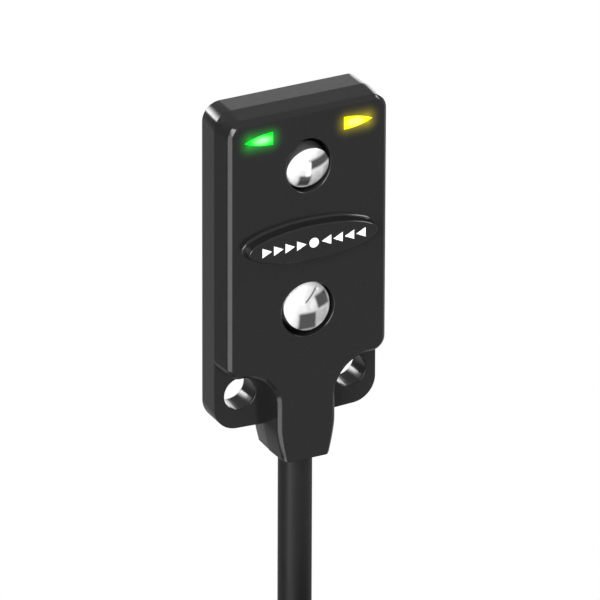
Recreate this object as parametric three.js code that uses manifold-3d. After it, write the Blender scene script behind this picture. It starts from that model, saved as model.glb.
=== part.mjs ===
// Miniature flat-pack photoelectric sensor with an integral cable.
// Units are millimetres. +Z is up, the sensing face looks along -Y and the back lies in the plane Y = 0.
// The origin is on the back, midway between the two mounting holes.

import * as THREE from "three";
import { mergeVertices } from "three/addons/utils/BufferGeometryUtils.js";
import Module from "manifold-3d";

const wasm = await Module();
wasm.setup();

// ---------------------------------------------------------------- driving dimensions

const WIDTH = 12.5;
const TOP = 21.7;
const PLATE_DEPTH = 1.95;
const DEPTH = 3.9;
const TOP_RADIUS = 1.35;
const WALL = 0.7;
const PARTING_STEP = 0.02;

const HOLE_SPACING = 8.5;
const HOLE_RADIUS = 1.2;
const HOLE_CHAMFER = 0.08;
const EAR_BOTTOM = -2.6;
const EAR_RADIUS = 1.8;
const EAR_RISE = 0.1;

const NECK_HALF = 2.4;
const NECK_TIP_HALF = 2.0;
const NECK_BOTTOM = -5.05;
const NECK_TAPER_START = -2.5;
const NECK_TIP_RADIUS = 0.55;
const NECK_REAR_DRAFT = 0.1;
const NECK_REAR_TIP_RADIUS = 0.35;

const POCKET_CENTRE = new THREE.Vector2(4.93, -0.67);
const POCKET_RADIUS = POCKET_CENTRE.x - NECK_HALF;
const FOOT_RADIUS = 1.2;

const DRAFT = 0.21;
const EDGE_INSET = 0.47;
const CROWN_DROP = 0.6;
const CROWN_RUN = 0.5;
const CROWN_FALL = 0.17;

const OPTICS_CENTRE = 11.88;
const LENS_SPACING = 10.9;
const LENS_HOLE_RADIUS = 2.0;
const LENS_HOLE_CHAMFER = 0.14;
const LENS_RISE = 0.6;
const LENS_BACK = 2.8;
const LENS_SEAT_RADIUS = 2.1;
const LENS_TILT = THREE.MathUtils.degToRad(12);
const LENSES = [
  { name: "upper_lens", side: 1, radius: 1.6, rimDepth: 3.8, shift: 0.22, holeWidth: 0.84 },
  { name: "lower_lens", side: -1, radius: 1.75, rimDepth: 3.7, shift: 0.2, holeWidth: 1 },
];

const WINDOW_Z = 19.95;
const WINDOW_INNER = 2.72;
const WINDOW_LENGTH = 2.15;
const WINDOW_HALF = 0.46;

const PAD_HALF_LENGTH = 5.05;
const PAD_HALF_HEIGHT = 1.4;
const PAD_RISE = 0.87;
const PAD_EDGE = 0.15;

const COVER_DEPTH = 0.5;
const COVER_GAP = 0.05;
const CAVITY_HALF = 5.4;
const CAVITY_BOTTOM = 2.7;
const CAVITY_TOP = 20.8;
const LEDGE = 0.3;
const CHANNEL_HALF = 1.6;
const CHANNEL_BOTTOM = -0.4;
const CHANNEL_FRONT = 3.4;

const BOARD_BACK = 0.7;
const BOARD_DEPTH = 0.6;
const BOARD_FRONT = BOARD_BACK + BOARD_DEPTH;
const BOARD_HALF = 5.2;
const BOARD_BOTTOM = 3.25;
const BOARD_TOP = 20.6;

const CARRIER_HALF = 2.5;
const CARRIER_BACK = 1.75;
const CARRIER_FRONT = 3.15;
const CARRIER_SEAT = 2.35;
const APERTURE_RADIUS = 1.1;

const CABLE_RADIUS = 1.2;
const CABLE_Y = -PLATE_DEPTH;
const BORE_RADIUS = 1.25;
const JACKET_END = 1.2;
const CORE_RADIUS = 0.4;
const CORE_OFFSET = 0.55;

const COIL_RADII = 5;
const COIL_COLUMNS = 4;
const COIL_MEAN_RADIUS = 14.4;
const COIL_CENTRE_Z = -39.9;
const COIL_GAP = 0.1;
const COIL_HALF_DEEP = COIL_RADII * CABLE_RADIUS;
const COIL_BACK_Y = CABLE_Y - CABLE_RADIUS - COIL_GAP;
const COIL_FRONT_Y = COIL_BACK_Y - 2 * CABLE_RADIUS * COIL_COLUMNS;

const ARC_STEPS = 6;
const ROUND_STEPS = 32;
const SMALL_STEPS = 16;
const CORD_SIDES = 8;

// ---------------------------------------------------------------- looks

const plastic = (color) => new THREE.MeshStandardMaterial({ color, roughness: 0.45, metalness: 0 });
const metal = (color) => new THREE.MeshStandardMaterial({ color, roughness: 0.3, metalness: 1 });
const clear = (color) => new THREE.MeshStandardMaterial({ color, roughness: 0.05, metalness: 0 });

const BLACK = 0x17171a;
const LOOKS = {
  shell: () => plastic(BLACK),
  lens: () => clear(0xdfe3e6),
  green: () => clear(0x16d84a),
  yellow: () => clear(0xf2e21c),
  board: () => plastic(0x1c5a33),
  chip: () => plastic(0x202022),
  ceramic: () => plastic(0xc9b48c),
  die: () => clear(0xe8d9a0),
  jacket: () => plastic(0x1b1b1d),
  tie: () => plastic(0x0e0e10),
  steel: () => metal(0xb9bcc0),
};

// ---------------------------------------------------------------- solids

/** Turn a closed geometry into a solid whose shared corners are merged. */
function solid(geometry) {
  const bare = new THREE.BufferGeometry();
  bare.setAttribute("position", geometry.getAttribute("position"));
  if (geometry.index) {
    bare.setIndex(geometry.index);
  }
  const merged = mergeVertices(bare, 1e-5);
  const corners = merged.index.array;
  const kept = [];
  for (let i = 0; i < corners.length; i += 3) {
    const [a, b, c] = [corners[i], corners[i + 1], corners[i + 2]];
    if (a !== b && b !== c && c !== a) {
      kept.push(a, b, c);
    }
  }
  const vertProperties = Float32Array.from(merged.getAttribute("position").array);
  return new wasm.Manifold(new wasm.Mesh({ numProp: 3, vertProperties, triVerts: Uint32Array.from(kept) }));
}

/** Turn a solid back into a geometry. */
function geometryOf(body) {
  const { vertProperties, triVerts } = body.getMesh();
  const geometry = new THREE.BufferGeometry();
  geometry.setAttribute("position", new THREE.BufferAttribute(vertProperties, 3));
  geometry.setIndex(new THREE.BufferAttribute(triVerts, 1));
  geometry.computeVertexNormals();
  return geometry;
}

const union = (first, ...rest) => rest.reduce((sum, next) => sum.add(next), first);
const cut = (first, ...rest) => rest.reduce((left, next) => left.subtract(next), first);

/** Extrude an outline drawn in X and Z, from one depth behind the face plane to another. */
function slab(shape, from, to) {
  const geometry = new THREE.ExtrudeGeometry(shape, {
    depth: to - from,
    bevelEnabled: false,
    curveSegments: ARC_STEPS,
  });
  return geometry.rotateX(Math.PI / 2).translate(0, -from, 0);
}

/** Extrude an outline to a depth, drawn in by `inset` over the last `run` before each end. */
function drawnIn(shape, depth, inset, run) {
  const geometry = new THREE.ExtrudeGeometry(shape, {
    depth: depth - run,
    bevelThickness: run,
    bevelSize: inset,
    bevelOffset: -inset,
    bevelSegments: 1,
    curveSegments: ARC_STEPS,
  });
  return geometry.rotateX(Math.PI / 2);
}

/** A straight-sided block given by its middle in X and Z, its size, and its two depths. */
function block(x, z, wide, high, from, to) {
  return new THREE.BoxGeometry(wide, to - from, high).translate(x, -(from + to) / 2, z);
}

/** A body turned about Y, given by its middle in X and Z and its [radius, depth] steps, front first. */
function turned(x, z, steps, sides = ROUND_STEPS) {
  const profile = steps.map(([radius, depth]) => new THREE.Vector2(radius, -depth));
  const front = new THREE.Vector2(0, profile[0].y);
  const back = new THREE.Vector2(0, profile[profile.length - 1].y);
  return new THREE.LatheGeometry([front, ...profile, back], sides).translate(x, 0, z);
}

/** A plain round bar along Y between two depths. */
const bar = (x, z, radius, from, to, sides) => turned(x, z, [[radius, to], [radius, from]], sides);

/** Close a half outline, given on the +X side from bottom to top, with its mirror image. */
function mirrored(half) {
  const apart = (p, i, all) => i === 0 || p.distanceTo(all[i - 1]) > 1e-4;
  const right = half.getPoints(ARC_STEPS).filter(apart);
  const left = right.map((p) => new THREE.Vector2(-p.x, p.y)).reverse();
  return new THREE.Shape([...right, ...left]);
}

/** A rectangle with rounded corners, symmetric in X. */
function roundedPlate(half, bottom, top, radius) {
  const path = new THREE.Path();
  path.moveTo(half - radius, bottom);
  path.absarc(half - radius, bottom + radius, radius, -Math.PI / 2, 0, false);
  path.absarc(half - radius, top - radius, radius, 0, Math.PI / 2, false);
  return mirrored(path);
}

/** A round tube filled solid, along a smooth curve through `points`. */
function cord(points, radius, steps, sides = CORD_SIDES) {
  const section = new THREE.Shape();
  for (let i = 0; i < sides; i += 1) {
    const angle = (2 * Math.PI * i) / sides;
    const [x, y] = [radius * Math.cos(angle), radius * Math.sin(angle)];
    if (i === 0) {
      section.moveTo(x, y);
    } else {
      section.lineTo(x, y);
    }
  }
  const route = new THREE.CatmullRomCurve3(points.map((p) => new THREE.Vector3(...p)), false, "centripetal");
  return new THREE.ExtrudeGeometry(section, { steps, extrudePath: route, bevelEnabled: false });
}

// ---------------------------------------------------------------- outlines

/** The neck's side, from its tip up to where the side becomes straight, set in by `step`. */
function neckSide(path, step, lower = 0, tipRadius = NECK_TIP_RADIUS) {
  const corner = NECK_TIP_HALF - step - tipRadius;
  const bottom = NECK_BOTTOM + step - lower;
  const half = NECK_HALF - step;
  path.moveTo(corner, bottom);
  path.absarc(corner, bottom + tipRadius, tipRadius, -Math.PI / 2, 0, false);
  path.quadraticCurveTo(half - 0.04, NECK_TAPER_START - 0.9, half, NECK_TAPER_START);
}

/**
 * The raised front body: neck, hollow corners round the mounting holes, feet, sides and top.
 * Its ends can go lower and higher, so that what draws the sides in leaves the ends where they are.
 */
function bodyOutline(lower, higher) {
  const path = new THREE.Path();
  const foot = new THREE.Vector2(WIDTH / 2 - FOOT_RADIUS, POCKET_CENTRE.y + POCKET_RADIUS + FOOT_RADIUS);
  neckSide(path, 0, lower);
  path.absarc(POCKET_CENTRE.x, POCKET_CENTRE.y, POCKET_RADIUS, Math.PI, Math.PI / 2, true);
  path.absarc(foot.x, foot.y, FOOT_RADIUS, -Math.PI / 2, 0, false);
  path.absarc(WIDTH / 2 - TOP_RADIUS, TOP + higher - TOP_RADIUS, TOP_RADIUS, 0, Math.PI / 2, false);
  return mirrored(path);
}

/** The flat mounting plate with its two ears. */
function plateOutline() {
  const path = new THREE.Path();
  const half = WIDTH / 2 - PARTING_STEP;
  const top = TOP - PARTING_STEP;
  path.moveTo(NECK_TIP_HALF, EAR_BOTTOM - EAR_RISE);
  path.absarc(half - EAR_RADIUS, EAR_BOTTOM + EAR_RADIUS, EAR_RADIUS, -Math.PI / 2, 0, false);
  path.absarc(half - TOP_RADIUS, top - TOP_RADIUS, TOP_RADIUS, 0, Math.PI / 2, false);
  return mirrored(path);
}

/** The neck alone, closed off inside the plate. */
function neckOutline() {
  const path = new THREE.Path();
  neckSide(path, PARTING_STEP, 0, NECK_REAR_TIP_RADIUS);
  path.lineTo(NECK_HALF - PARTING_STEP, 0);
  return mirrored(path);
}

/** The back cover: a rounded plate with a tongue over the cable channel. */
function coverOutline(grow) {
  const half = CAVITY_HALF + LEDGE + grow;
  const bottom = CAVITY_BOTTOM - LEDGE - grow;
  const top = CAVITY_TOP + LEDGE + grow;
  const tongueHalf = CHANNEL_HALF + grow;
  const radius = 1;
  const path = new THREE.Path();
  path.moveTo(tongueHalf, CHANNEL_BOTTOM - grow);
  path.lineTo(tongueHalf, bottom);
  path.absarc(half - radius, bottom + radius, radius, -Math.PI / 2, 0, false);
  path.absarc(half - radius, top - radius, radius, 0, Math.PI / 2, false);
  return mirrored(path);
}

/** A bullet lying along X: flat at the inner end, pointed at the outer end. `side` is 1 or -1. */
function bulletOutline(side, grow) {
  const shape = new THREE.Shape();
  const inner = side * (WINDOW_INNER - grow);
  const tip = side * (WINDOW_INNER + WINDOW_LENGTH + grow);
  const shoulder = side * (WINDOW_INNER + WINDOW_LENGTH * 0.55);
  const half = WINDOW_HALF + grow;
  shape.moveTo(inner, WINDOW_Z - side * half);
  shape.quadraticCurveTo(shoulder, WINDOW_Z - side * half, tip, WINDOW_Z);
  shape.quadraticCurveTo(shoulder, WINDOW_Z + side * half, inner, WINDOW_Z + side * half);
  return shape;
}

/** The side view of the body: a square lower end, and a top that falls a little and rolls into the face. */
function crownProfile() {
  const shape = new THREE.Shape();
  shape.moveTo(PLATE_DEPTH - 0.2, NECK_BOTTOM);
  shape.lineTo(DEPTH, NECK_BOTTOM);
  shape.lineTo(DEPTH, TOP - CROWN_DROP);
  shape.quadraticCurveTo(DEPTH, TOP - CROWN_FALL, DEPTH - CROWN_RUN, TOP - CROWN_FALL);
  shape.lineTo(PLATE_DEPTH, TOP);
  shape.lineTo(PLATE_DEPTH - 0.2, TOP);
  return shape;
}

// ---------------------------------------------------------------- housing

/** The raised body, drafted from the plate to the face, with chamfered sides and a rolled top. */
function raisedBody() {
  const draft = solid(drawnIn(bodyOutline(DRAFT, 0), DEPTH, DRAFT, DEPTH - PLATE_DEPTH));
  const chamfered = bodyOutline(EDGE_INSET, EDGE_INSET - DRAFT);
  const edge = solid(drawnIn(chamfered, DEPTH, EDGE_INSET, EDGE_INSET));
  const profile = new THREE.ExtrudeGeometry(crownProfile(), {
    depth: WIDTH + 2,
    bevelEnabled: false,
    curveSegments: ARC_STEPS,
  });
  profile.applyMatrix4(
    new THREE.Matrix4().makeBasis(
      new THREE.Vector3(0, -1, 0), new THREE.Vector3(0, 0, 1), new THREE.Vector3(-1, 0, 0),
    ),
  );
  profile.translate(WIDTH / 2 + 1, 0, 0);
  return draft.intersect(edge).intersect(solid(profile));
}

/** The rear half of the neck, drawn in towards the back. */
function rearNeck() {
  const overlap = 0.1;
  const geometry = drawnIn(neckOutline(), PLATE_DEPTH + overlap, NECK_REAR_DRAFT, PLATE_DEPTH);
  geometry.rotateZ(Math.PI).translate(0, -PLATE_DEPTH, 0);
  const rear = block(0, 0, WIDTH, 4 * WIDTH, 0, PLATE_DEPTH + overlap / 2);
  return solid(geometry).intersect(solid(rear));
}

/** The raised oval pad between the lenses. */
function ovalPad() {
  const oval = new THREE.Shape();
  oval.absellipse(0, OPTICS_CENTRE, PAD_HALF_LENGTH, PAD_HALF_HEIGHT, 0, 2 * Math.PI, false, 0);
  const geometry = new THREE.ExtrudeGeometry(oval, {
    depth: PAD_RISE,
    bevelThickness: PAD_EDGE,
    bevelSize: PAD_EDGE,
    bevelOffset: -PAD_EDGE,
    bevelSegments: 2,
    curveSegments: 2 * ARC_STEPS,
  });
  const pad = solid(geometry.rotateX(Math.PI / 2).translate(0, PAD_EDGE - DEPTH, 0));
  return pad.intersect(solid(block(0, OPTICS_CENTRE, WIDTH, WIDTH, DEPTH - 0.2, DEPTH + 1)));
}

/** Everything taken out of the moulding from behind and from below. */
function inside() {
  const recess = solid(slab(coverOutline(COVER_GAP), -1, COVER_DEPTH + COVER_GAP));
  const cavity = solid(slab(roundedPlate(CAVITY_HALF, CAVITY_BOTTOM, CAVITY_TOP, 0.8), 0.2, DEPTH - WALL));
  const channelTop = CAVITY_BOTTOM + 0.4;
  const channelMiddle = (CHANNEL_BOTTOM + channelTop) / 2;
  const channelHigh = channelTop - CHANNEL_BOTTOM;
  const channel = solid(block(0, channelMiddle, 2 * CHANNEL_HALF, channelHigh, 0.2, CHANNEL_FRONT));
  const length = CHANNEL_BOTTOM + 1 - NECK_BOTTOM;
  const bore = new THREE.CylinderGeometry(BORE_RADIUS, BORE_RADIUS, length, ROUND_STEPS)
    .rotateX(Math.PI / 2)
    .translate(0, CABLE_Y, NECK_BOTTOM - 0.5 + length / 2);
  return union(recess, cavity, channel, solid(bore));
}

/** The height of the upper (1) or the lower (-1) lens hole's middle. */
function lensZ(side) {
  return OPTICS_CENTRE + (side * LENS_SPACING) / 2;
}

/** Everything taken out of the moulding from the front. */
function openings() {
  const cuts = [];
  for (const { side, holeWidth } of LENSES) {
    const lensHole = turned(0, 0, [
      [LENS_HOLE_RADIUS + 2 * LENS_HOLE_CHAMFER, DEPTH + LENS_HOLE_CHAMFER],
      [LENS_HOLE_RADIUS, DEPTH - LENS_HOLE_CHAMFER],
      [LENS_HOLE_RADIUS, DEPTH - WALL - 0.2],
    ]);
    cuts.push(solid(lensHole.scale(holeWidth, 1, 1).translate(0, 0, lensZ(side))));
  }
  for (const side of [-1, 1]) {
    const mountingHole = [
      [HOLE_RADIUS + 2 * HOLE_CHAMFER, PLATE_DEPTH + HOLE_CHAMFER],
      [HOLE_RADIUS, PLATE_DEPTH - HOLE_CHAMFER],
      [HOLE_RADIUS, HOLE_CHAMFER],
      [HOLE_RADIUS + 2 * HOLE_CHAMFER, -HOLE_CHAMFER],
    ];
    cuts.push(solid(turned((side * HOLE_SPACING) / 2, 0, mountingHole)));
    cuts.push(solid(slab(bulletOutline(side, 0.04), DEPTH - WALL - 0.2, DEPTH + 0.5)));
  }
  return cuts;
}

function frontHousing() {
  const plate = solid(slab(plateOutline(), 0, PLATE_DEPTH));
  const body = union(plate, rearNeck(), raisedBody(), ovalPad());
  return geometryOf(cut(body, inside(), ...openings()));
}

const backCover = () => slab(coverOutline(0), 0, COVER_DEPTH);

// ---------------------------------------------------------------- optics

/** A domed lens on its skirt. Its rim lies in its own plane Y = 0, and it looks along -Y. */
function lens(radius, skirt) {
  const sphere = (radius ** 2 + LENS_RISE ** 2) / (2 * LENS_RISE);
  const spread = Math.asin(radius / sphere);
  const profile = [new THREE.Vector2(0, skirt), new THREE.Vector2(radius, skirt)];
  for (let i = 0; i < ARC_STEPS; i += 1) {
    const angle = spread * (1 - i / ARC_STEPS);
    const height = sphere * Math.cos(angle) - sphere + LENS_RISE;
    profile.push(new THREE.Vector2(sphere * Math.sin(angle), -height));
  }
  profile.push(new THREE.Vector2(0, -LENS_RISE));
  return new THREE.LatheGeometry(profile.reverse(), ROUND_STEPS);
}

/** The moulded insert behind the face that seats both lenses and keeps stray light out. */
function opticsCarrier() {
  const bottom = OPTICS_CENTRE - LENS_SPACING / 2 - CARRIER_HALF;
  const top = OPTICS_CENTRE + LENS_SPACING / 2 + CARRIER_HALF;
  const plate = solid(slab(roundedPlate(CARRIER_HALF, bottom, top, 0.8), CARRIER_BACK, CARRIER_FRONT));
  const cuts = [solid(block(0, OPTICS_CENTRE, 3.8, 4.6, CARRIER_BACK - 1, CARRIER_FRONT - 0.4))];
  for (const side of [-1, 1]) {
    cuts.push(solid(bar(0, lensZ(side), LENS_SEAT_RADIUS, CARRIER_SEAT, CARRIER_FRONT + 1)));
    cuts.push(solid(bar(0, lensZ(side), APERTURE_RADIUS, CARRIER_BACK - 1, CARRIER_FRONT)));
  }
  return geometryOf(cut(plate, ...cuts));
}

/** A light pipe that carries an indicator's light to the face. */
function indicatorWindow(side) {
  const pipe = solid(slab(bulletOutline(side, 0), 2.2, DEPTH + 0.03));
  const flange = solid(slab(bulletOutline(side, 0.2), 2.7, DEPTH - WALL - 0.05));
  return geometryOf(union(pipe, flange));
}

// ---------------------------------------------------------------- electronics

const GAP = 0.03;

/** A board component: a block on the front of the board. */
const component = (x, z, wide, high, tall) => block(x, z, wide, high, BOARD_FRONT + GAP, BOARD_FRONT + GAP + tall);

/** A light-emitting or light-sensing chip package with a small clear dome. */
function opticalChip(z) {
  const base = solid(component(0, z, 1.3, 0.9, 0.3));
  const dome = solid(bar(0, z, 0.4, BOARD_FRONT + 0.2, BOARD_FRONT + 0.6, SMALL_STEPS));
  return geometryOf(union(base, dome));
}

/** One insulated conductor from the end of the cable jacket to its pad on the board. */
function conductor(x, padX) {
  const y = CABLE_Y - (x === 0 ? CORE_OFFSET : -CORE_OFFSET / 2);
  const landing = -BOARD_FRONT - GAP - CORE_RADIUS;
  const points = [
    [x, y, JACKET_END + 0.05],
    [x, y, JACKET_END + 0.5],
    [(x + padX) / 2, (y + landing) / 2, (JACKET_END + BOARD_BOTTOM) / 2],
    [padX, landing, BOARD_BOTTOM - 0.2],
    [padX, landing, BOARD_BOTTOM + 0.3],
  ];
  return cord(points, CORE_RADIUS, 12);
}

/** The metal sleeve crimped round the jacket just inside the neck. */
function crimpRing() {
  const inner = CABLE_RADIUS + 0.04;
  const outer = 1.4;
  const profile = [
    new THREE.Vector2(inner, 0),
    new THREE.Vector2(outer, 0),
    new THREE.Vector2(outer, 1.1),
    new THREE.Vector2(inner, 1.1),
    new THREE.Vector2(inner, 0),
  ];
  return new THREE.LatheGeometry(profile, ROUND_STEPS).rotateX(Math.PI / 2).translate(0, CABLE_Y, CHANNEL_BOTTOM + 0.1);
}

// ---------------------------------------------------------------- cable

const LEAD_BEND_Z = -21.9;
const LEAD_BEND_RADIUS = 12;
const COIL_INNER_TURN = COIL_MEAN_RADIUS - (COIL_RADII - 1) * CABLE_RADIUS;
const COIL_OUTER_TURN = COIL_MEAN_RADIUS + (COIL_RADII - 1) * CABLE_RADIUS;

/** A point on the coil's circle of the given radius, at an angle from the top towards +X. */
function onCoil(radius, degrees, y) {
  const angle = THREE.MathUtils.degToRad(degrees);
  return [radius * Math.sin(angle), y, COIL_CENTRE_Z + radius * Math.cos(angle)];
}

/** The stretch from inside the neck, straight down, and once round behind the coil. */
function cableLead() {
  const points = [
    [0, CABLE_Y, JACKET_END],
    [0, CABLE_Y, -2],
    [0, CABLE_Y, NECK_BOTTOM],
    [0, CABLE_Y, -9],
    [0, CABLE_Y, -13],
    [0, CABLE_Y, -17],
    [0, CABLE_Y, -20],
    [0, CABLE_Y, LEAD_BEND_Z],
  ];
  const swing = 56.3;
  for (const share of [0.25, 0.5, 0.75]) {
    const angle = THREE.MathUtils.degToRad(swing * share);
    points.push([
      LEAD_BEND_RADIUS * (1 - Math.cos(angle)), CABLE_Y, LEAD_BEND_Z - LEAD_BEND_RADIUS * Math.sin(angle),
    ]);
  }
  for (let degrees = 90 - swing; degrees < 310; degrees += 12) {
    points.push(onCoil(COIL_INNER_TURN, degrees, CABLE_Y));
  }
  return cord(points, CABLE_RADIUS, 48);
}

/** The outer shape of the wound coil. */
function cableCoil() {
  const inner = COIL_MEAN_RADIUS - COIL_HALF_DEEP;
  const outer = COIL_MEAN_RADIUS + COIL_HALF_DEEP;
  const deep = COIL_BACK_Y - COIL_FRONT_Y;
  const profile = [
    new THREE.Vector2(inner, 0),
    new THREE.Vector2(outer, 0),
    new THREE.Vector2(outer, deep),
    new THREE.Vector2(inner, deep),
    new THREE.Vector2(inner, 0),
  ];
  return new THREE.LatheGeometry(profile, ROUND_STEPS).translate(0, COIL_FRONT_Y, COIL_CENTRE_Z);
}

/** The last stretch of jacket, lying over the coil's shoulder and hanging down beside it. */
const TAIL_RADIUS = COIL_OUTER_TURN + 2 * CABLE_RADIUS + 0.15;
const TAIL_Y = COIL_FRONT_Y + CABLE_RADIUS;
const TAIL_END_Z = COIL_CENTRE_Z + 2;

function cableTail() {
  const points = [];
  for (let degrees = -14; degrees <= 76; degrees += 15) {
    points.push(onCoil(TAIL_RADIUS, degrees, TAIL_Y));
  }
  points.push([TAIL_RADIUS, TAIL_Y, TAIL_END_Z + 1]);
  points.push([TAIL_RADIUS, TAIL_Y, TAIL_END_Z]);
  return cord(points, CABLE_RADIUS, 16);
}

/** A conductor of the cable's free end, stripped and tinned at its tip. */
function flyingLead(spreadX, spreadY, length) {
  const startX = TAIL_RADIUS + 0.55 * Math.sign(spreadX);
  const startY = TAIL_Y + (spreadX === 0 ? -0.5 : 0.3);
  const points = [];
  for (const share of [0, 0.25, 0.5, 0.75, 1]) {
    const bow = Math.sin((Math.PI / 2) * share) ** 2;
    points.push([startX + spreadX * bow, startY + spreadY * bow, TAIL_END_Z - 0.3 - length * share]);
  }
  return cord(points, CORE_RADIUS, 12);
}

/** A flat tie round the coil's section at an angle from its top, holding all turns within `reach`. */
function coilTie(degrees, reach) {
  const clearance = 0.15;
  const thick = 0.5;
  const wide = 2.4;
  const inner = COIL_MEAN_RADIUS - COIL_HALF_DEEP - clearance;
  const outer = reach + clearance;
  const back = CABLE_Y + CABLE_RADIUS + clearance;
  const front = COIL_FRONT_Y - clearance;
  const band = (grow) =>
    new THREE.BoxGeometry(wide + (grow ? 0 : 1), back - front + 2 * grow, outer - inner + 2 * grow)
      .translate(0, (back + front) / 2, (inner + outer) / 2);
  const loop = geometryOf(cut(solid(band(thick)), solid(band(0))));
  return loop.rotateY(THREE.MathUtils.degToRad(degrees)).translate(0, 0, COIL_CENTRE_Z);
}

// ---------------------------------------------------------------- assembly

const sensor = new THREE.Group();

function add(name, geometry, material, parent = sensor) {
  const mesh = new THREE.Mesh(geometry, material);
  mesh.name = name;
  parent.add(mesh);
  return mesh;
}

add("front_housing", frontHousing(), LOOKS.shell());
add("back_cover", backCover(), LOOKS.shell());
add("optics_carrier", opticsCarrier(), LOOKS.shell());

for (const { name, side, radius, rimDepth, shift } of LENSES) {
  const mesh = add(name, lens(radius, rimDepth - LENS_BACK), LOOKS.lens());
  mesh.position.set(0, -rimDepth, lensZ(side) - side * shift);
  mesh.rotation.x = side * LENS_TILT;
}

add("power_indicator_window", indicatorWindow(-1), LOOKS.green());
add("output_indicator_window", indicatorWindow(1), LOOKS.yellow());

const boardPlate = roundedPlate(BOARD_HALF, BOARD_BOTTOM, BOARD_TOP, 0.5);
add("circuit_board", slab(boardPlate, BOARD_BACK, BOARD_FRONT), LOOKS.board());
add("emitter_led", opticalChip(OPTICS_CENTRE + LENS_SPACING / 2), LOOKS.die());
add("photodetector", opticalChip(OPTICS_CENTRE - LENS_SPACING / 2), LOOKS.chip());
const indicatorX = WINDOW_INNER + 0.9;
add("power_led_chip", component(-indicatorX, WINDOW_Z, 1.0, 0.5, 0.4), LOOKS.die());
add("output_led_chip", component(indicatorX, WINDOW_Z, 1.0, 0.5, 0.4), LOOKS.die());
add("controller_chip", component(0, OPTICS_CENTRE, 3.0, 3.0, 0.75), LOOKS.chip());
add("output_transistor", component(3.95, 8.2, 1.5, 2.9, 1.0), LOOKS.chip());
add("voltage_regulator", component(3.95, 13.6, 1.5, 2.9, 1.0), LOOKS.chip());
add("protection_diode", component(-3.95, 6.2, 1.3, 2.2, 0.9), LOOKS.chip());

[9.2, 11.2, 13.2].forEach((z, i) => {
  add(`capacitor_${i + 1}`, component(-3.95, z, 0.8, 1.6, 0.8), LOOKS.ceramic());
});
[15.0, 16.3, 17.6].forEach((z, i) => {
  add(`resistor_${i + 1}`, component(-3.95, z, 1.0, 0.5, 0.35), LOOKS.chip());
});
[16.3, 17.6].forEach((z, i) => {
  add(`resistor_${i + 4}`, component(3.95, z, 1.0, 0.5, 0.35), LOOKS.chip());
});

const CORES = [["brown", -1, 0x6b3d22], ["black", 0, 0x111111], ["blue", 1, 0x2456b8]];
for (const [colour, place, tint] of CORES) {
  add(`wire_${colour}`, conductor(place * CORE_OFFSET, place * 1.1), plastic(tint));
}

add("crimp_ring", crimpRing(), LOOKS.steel());
add("cable_lead", cableLead(), LOOKS.jacket());
add("cable_coil", cableCoil(), LOOKS.jacket());
add("cable_tail", cableTail(), LOOKS.jacket());
add("coil_tie_1", coilTie(60, TAIL_RADIUS + CABLE_RADIUS), LOOKS.tie());
add("coil_tie_2", coilTie(235, COIL_MEAN_RADIUS + COIL_HALF_DEEP), LOOKS.tie());

const LEAD_SPREAD = { brown: [-1.2, -0.6], black: [0, -1.4], blue: [1.6, 0.2] };
for (const [colour, , tint] of CORES) {
  const [spreadX, spreadY] = LEAD_SPREAD[colour];
  add(`lead_${colour}`, flyingLead(spreadX, spreadY, 32), plastic(tint));
}

export default sensor;
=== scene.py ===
"""Looks of a miniature flat-pack photoelectric sensor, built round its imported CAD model.

Shapes are drawn in millimetres, in the CAD's frame, and become metres when their mesh is made:
the flat back lies in Y = 0, the sensing face looks along -Y, and +Z is up, away from the cable.
A depth is a distance in front of the back, so its Y is negative.
"""
import math

import bmesh
import bpy
import numpy as np
from mathutils import Matrix, Vector


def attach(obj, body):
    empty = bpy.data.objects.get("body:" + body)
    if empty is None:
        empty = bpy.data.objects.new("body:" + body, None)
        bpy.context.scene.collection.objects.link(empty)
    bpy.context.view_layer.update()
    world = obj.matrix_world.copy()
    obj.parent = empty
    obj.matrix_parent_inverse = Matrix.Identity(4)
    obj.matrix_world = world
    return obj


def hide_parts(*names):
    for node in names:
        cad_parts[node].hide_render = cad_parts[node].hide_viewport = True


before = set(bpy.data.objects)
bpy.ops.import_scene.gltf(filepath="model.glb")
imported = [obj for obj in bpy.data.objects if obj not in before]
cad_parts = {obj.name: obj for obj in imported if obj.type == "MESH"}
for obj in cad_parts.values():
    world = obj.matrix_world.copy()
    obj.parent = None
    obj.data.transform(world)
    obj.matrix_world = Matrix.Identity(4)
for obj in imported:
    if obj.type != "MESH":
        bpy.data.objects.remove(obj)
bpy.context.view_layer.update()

MM = 0.001

# ---------------------------------------------------------------- sizes, in millimetres

WIDTH = 12.5
TOP = 21.7
PLATE_DEPTH = 1.95
DEPTH = 3.9
TOP_RADIUS = 1.35
WALL = 0.7
PARTING_STEP = 0.02

HOLE_SPACING = 8.5
HOLE_RADIUS = 1.2
EAR_BOTTOM = -2.6
EAR_RADIUS = 1.8
EAR_RISE = 0.1

NECK_HALF = 2.4
NECK_TIP_HALF = 2.0
NECK_BOTTOM = -5.05
NECK_TAPER_START = -2.5
NECK_TIP_RADIUS = 0.35
NECK_REAR_DRAFT = 0.1

POCKET_CENTRE = (4.93, -0.67)
POCKET_RADIUS = POCKET_CENTRE[0] - NECK_HALF
FOOT_RADIUS = 1.2

DRAFT = 0.21
EDGE_INSET = 0.47
CROWN_DROP = 0.6
CROWN_RUN = 0.5
CROWN_FALL = 0.13
TOP_HELD = 0.25

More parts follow.
